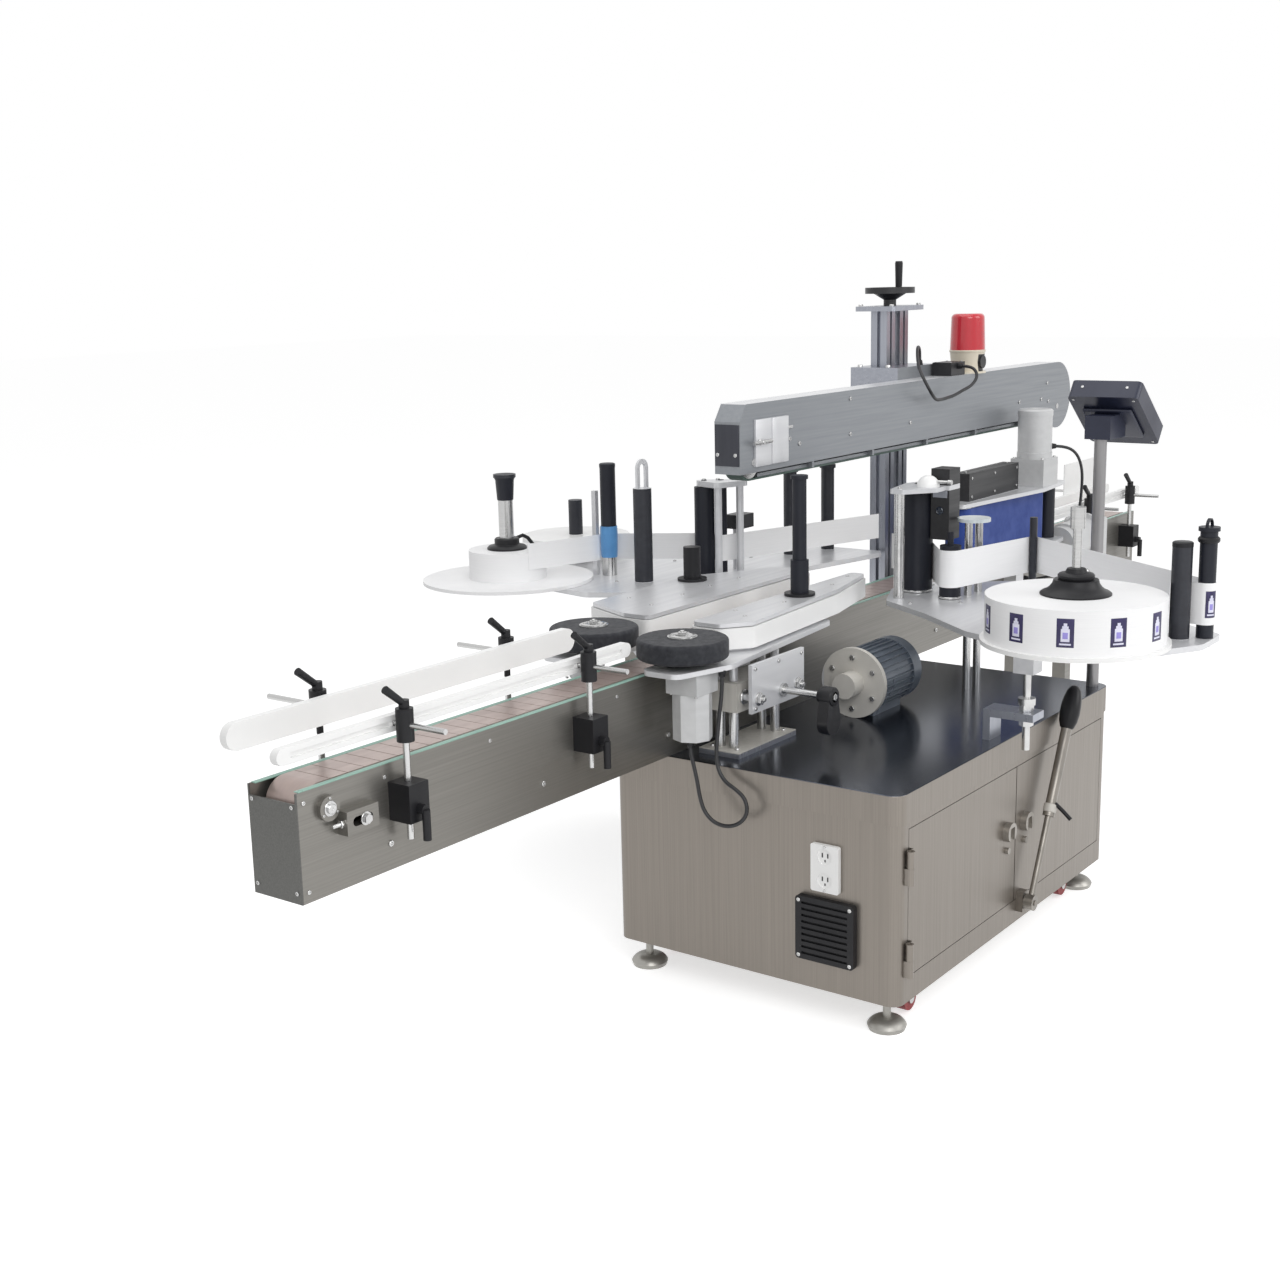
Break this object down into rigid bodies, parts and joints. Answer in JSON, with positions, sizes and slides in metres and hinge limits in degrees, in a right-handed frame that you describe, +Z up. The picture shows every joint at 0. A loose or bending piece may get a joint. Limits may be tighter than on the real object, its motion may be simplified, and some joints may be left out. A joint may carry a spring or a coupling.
{
  "type": "bottle labelling machine",
  "caption": "Two-sided bottle labelling machine: plate-chain conveyor through a steel cabinet, spacing wheels, guide chains, hold-down beam, wrap belt and two label heads.",
  "frame": {"origin": "on the floor below the middle of the whole machine, on the conveyor's centreline", "axes": "+X the way the bottles travel, -Y the operator's side, +Z up"},
  "size_m": [3.6459, 1.8805, 1.468],
  "materials": {
    "cabinet_steel": "brushed",
    "dark_steel": "brushed, mirror-like",
    "foot_steel": "satin",
    "bright_steel": "polished",
    "frame_steel": "brushed",
    "bare_aluminium": "satin",
    "beam_grey": "satin",
    "motor_grey": "satin",
    "white_plastic": "matte",
    "cream_plastic": "gloss",
    "black_plastic": "matte",
    "sponge_black": "soft matte",
    "roller_black": "satin",
    "belt_green": "matte",
    "belt_blue": "matte",
    "beacon_red": "gloss",
    "caster_red": "satin",
    "paper_white": "smooth paper",
    "cord_black": "satin"
  },
  "bodies": {
    "machine": {"cabinet_shell": "cabinet_steel", "exit_panel": "cabinet_steel", "table_plate": "dark_steel", "levelling_feet": "foot_steel", "inlet_fittings": "white_plastic", "caster_forks": "bright_steel", "conveyor_frame": "frame_steel", "slat_chain": "bright_steel", "gear_motors": "motor_grey", "leg_stand": "frame_steel", "exit_guide_rails": "white_plastic", "rail_brackets": "black_plastic", "table_guides": "bare_aluminium", "far_guide_plates": "bare_aluminium", "far_guide_chain": "white_plastic", "column": "bare_aluminium", "panel_post": "bright_steel", "wrap_frame": "bare_aluminium", "wrap_belt": "belt_blue", "far_head_frame": "bare_aluminium", "far_label_web": "paper_white", "wrap_cord": "cord_black"},
    "infeed_door_leaf": {"infeed_door": "cabinet_steel"},
    "infeed_casters": {"infeed_caster_wheels": "caster_red"},
    "exit_casters": {"exit_caster_wheels": "caster_red"},
    "drive_shaft": {"conveyor_drive_shaft": "bright_steel"},
    "idler_shaft": {"conveyor_idler_shaft": "bright_steel"},
    "near_rail": {"infeed_near_rail": "white_plastic"},
    "far_rail": {"infeed_far_rail": "white_plastic"},
    "carriage": {"near_carriage": "bare_aluminium", "near_guide_chain": "white_plastic", "separator_cord": "cord_black"},
    "handwheel": {"carriage_handwheel": "black_plastic"},
    "near_wheel": {"near_separator_wheel": "sponge_black"},
    "far_wheel": {"far_separator_wheel": "sponge_black"},
    "near_shaft": {"near_guide_shaft": "black_plastic"},
    "far_shaft": {"far_guide_shaft": "black_plastic"},
    "hold_down_beam": {"beam": "beam_grey", "hold_down_belt": "belt_green", "beacon_base": "cream_plastic", "beacon_dome": "beacon_red", "beacon_cord": "cord_black"},
    "height_screw_body": {"height_screw": "black_plastic"},
    "grip": {"crank_grip": "black_plastic"},
    "drive_pulley": {"belt_drive_pulley": "bright_steel"},
    "idler_pulley": {"belt_idler_pulley": "bright_steel"},
    "panel": {"panel_head": "black_plastic"},
    "wrap_roller_body": {"wrap_roller": "roller_black"},
    "near_head": {"near_head_frame": "bare_aluminium", "near_label_web": "paper_white"},
    "near_roll": {"near_label_roll": "paper_white"},
    "near_traction": {"near_traction_roller": "roller_black"},
    "near_nip": {"near_nip_roller": "roller_black"},
    "near_rewind": {"near_rewind_roller": "roller_black"},
    "far_roll": {"far_label_roll": "paper_white"},
    "far_traction": {"far_traction_roller": "roller_black"},
    "far_nip": {"far_nip_roller": "roller_black"},
    "far_rewind": {"far_rewind_reel": "white_plastic"},
    "lift_screw_body": {"lift_screw": "bright_steel"},
    "lever": {"transport_lever": "bright_steel"}
  },
  "joints": [
    {"name": "infeed_door_hinge", "type": "hinge", "parent": "machine", "child": "infeed_door_leaf", "pos_m": [-0.756, -0.588, 0.268], "axis": [0, 0, -1], "range_deg": [0, 110]},
    {"name": "infeed_caster_spin", "type": "hinge", "parent": "machine", "child": "infeed_casters", "pos_m": [-0.652, -0.2455, 0.03], "axis": [0, 1, 0], "continuous": true},
    {"name": "exit_caster_spin", "type": "hinge", "parent": "machine", "child": "exit_casters", "pos_m": [0.108, -0.2455, 0.03], "axis": [0, 1, 0], "continuous": true},
    {"name": "conveyor_drive", "type": "hinge", "parent": "machine", "child": "drive_shaft", "pos_m": [1.262, 0, 0.635], "axis": [0, 1, 0], "continuous": true},
    {"name": "conveyor_idler", "type": "hinge", "parent": "machine", "child": "idler_shaft", "pos_m": [-1.72, 0, 0.635], "axis": [0, 1, 0], "continuous": true},
    {"name": "infeed_near_rail_slide", "type": "slide", "parent": "machine", "child": "near_rail", "axis": [0, 1, 0], "range_m": [-0.003, 0.015]},
    {"name": "infeed_far_rail_slide", "type": "slide", "parent": "machine", "child": "far_rail", "axis": [0, 1, 0], "range_m": [-0.015, 0.003]},
    {"name": "carriage_slide", "type": "slide", "parent": "machine", "child": "carriage", "axis": [0, 1, 0], "range_m": [-0.018, 0.018]},
    {"name": "carriage_handwheel_turn", "type": "hinge", "parent": "carriage", "child": "handwheel", "pos_m": [-0.61, -0.21, 0.612], "axis": [0, 1, 0], "range_deg": [-3240, 3240]},
    {"name": "near_wheel_spin", "type": "hinge", "parent": "carriage", "child": "near_wheel", "pos_m": [-0.813, -0.111, 0.7], "axis": [0, 0, 1], "continuous": true},
    {"name": "far_wheel_spin", "type": "hinge", "parent": "machine", "child": "far_wheel", "pos_m": [-0.813, 0.111, 0.7], "axis": [0, 0, 1], "continuous": true},
    {"name": "near_guide_drive", "type": "hinge", "parent": "carriage", "child": "near_shaft", "pos_m": [-0.345, -0.097, 0.7], "axis": [0, 0, 1], "continuous": true},
    {"name": "far_guide_drive", "type": "hinge", "parent": "machine", "child": "far_shaft", "pos_m": [-0.31, 0.214, 0.7], "axis": [0, 0, 1], "continuous": true},
    {"name": "beam_height", "type": "slide", "parent": "machine", "child": "hold_down_beam", "axis": [0, 0, 1], "range_m": [-0.1, 0.11]},
    {"name": "height_screw_turn", "type": "hinge", "parent": "machine", "child": "height_screw_body", "pos_m": [0.447, 0.112, 1.357], "axis": [0, 0, 1], "range_deg": [-7200, 7920]},
    {"name": "crank_grip_spin", "type": "hinge", "parent": "height_screw_body", "child": "grip", "pos_m": [0.494, 0.112, 1.43], "axis": [0, 0, 1], "continuous": true},
    {"name": "hold_down_belt_drive", "type": "hinge", "parent": "hold_down_beam", "child": "drive_pulley", "pos_m": [1.196, 0, 1.05], "axis": [0, 1, 0], "continuous": true},
    {"name": "hold_down_belt_idler", "type": "hinge", "parent": "hold_down_beam", "child": "idler_pulley", "pos_m": [-0.425, 0, 1.05], "axis": [0, 1, 0], "continuous": true},
    {"name": "panel_swivel", "type": "hinge", "parent": "machine", "child": "panel", "pos_m": [0.214, -0.551, 1.063], "axis": [0, 0, 1], "range_deg": [-60, 60]},
    {"name": "wrap_roller_spin", "type": "hinge", "parent": "machine", "child": "wrap_roller_body", "pos_m": [0.992, -0.096, 0.7], "axis": [0, 0, 1], "continuous": true},
    {"name": "near_head_height", "type": "slide", "parent": "machine", "child": "near_head", "axis": [0, 0, 1], "range_m": [-0.015, 0.02]},
    {"name": "lift_screw_turn", "type": "hinge", "parent": "machine", "child": "lift_screw_body", "pos_m": [-0.315, -0.62, 0.548], "axis": [0, 0, 1], "range_deg": [-1800, 2400]},
    {"name": "near_roll_spin", "type": "hinge", "parent": "near_head", "child": "near_roll", "pos_m": [-0.322, -0.72, 0.712], "axis": [0, 0, 1], "continuous": true},
    {"name": "near_traction_spin", "type": "hinge", "parent": "near_head", "child": "near_traction", "pos_m": [0.026, -0.19, 0.712], "axis": [0, 0, 1], "continuous": true},
    {"name": "near_nip_spin", "type": "hinge", "parent": "near_head", "child": "near_nip", "pos_m": [-0.021, -0.299, 0.712], "axis": [0, 0, 1], "continuous": true},
    {"name": "near_rewind_spin", "type": "hinge", "parent": "near_head", "child": "near_rewind", "pos_m": [-0.145, -0.921, 0.712], "axis": [0, 0, 1], "continuous": true},
    {"name": "far_roll_spin", "type": "hinge", "parent": "machine", "child": "far_roll", "pos_m": [-0.44, 0.665, 0.735], "axis": [0, 0, 1], "continuous": true},
    {"name": "far_traction_spin", "type": "hinge", "parent": "machine", "child": "far_traction", "pos_m": [-0.15, 0.287, 0.735], "axis": [0, 0, 1], "continuous": true},
    {"name": "far_nip_spin", "type": "hinge", "parent": "machine", "child": "far_nip", "pos_m": [-0.126, 0.255, 0.735], "axis": [0, 0, 1], "continuous": true},
    {"name": "far_rewind_spin", "type": "hinge", "parent": "machine", "child": "far_rewind", "pos_m": [-0.075, 0.745, 0.735], "axis": [0, 0, 1], "continuous": true},
    {"name": "transport_lever_turn", "type": "hinge", "parent": "machine", "child": "lever", "pos_m": [-0.236, -0.606, 0.112], "axis": [0, 1, 0], "range_deg": [-22, 30]}
  ],
  "couplings": [
    {"joint": "conveyor_idler", "follows": "conveyor_drive", "ratio": 1},
    {"joint": "carriage_handwheel_turn", "follows": "carriage_slide", "rad_per_m": 3141.6},
    {"joint": "near_wheel_spin", "follows": "far_wheel_spin", "ratio": -1},
    {"joint": "near_guide_drive", "follows": "far_guide_drive", "ratio": -1},
    {"joint": "height_screw_turn", "follows": "beam_height", "rad_per_m": 1256.6},
    {"joint": "hold_down_belt_idler", "follows": "hold_down_belt_drive", "ratio": 1},
    {"joint": "lift_screw_turn", "follows": "near_head_height", "rad_per_m": 2094.4},
    {"joint": "near_nip_spin", "follows": "near_traction_spin", "ratio": -1.5},
    {"joint": "far_nip_spin", "follows": "far_traction_spin", "ratio": -1.6901}
  ]
}
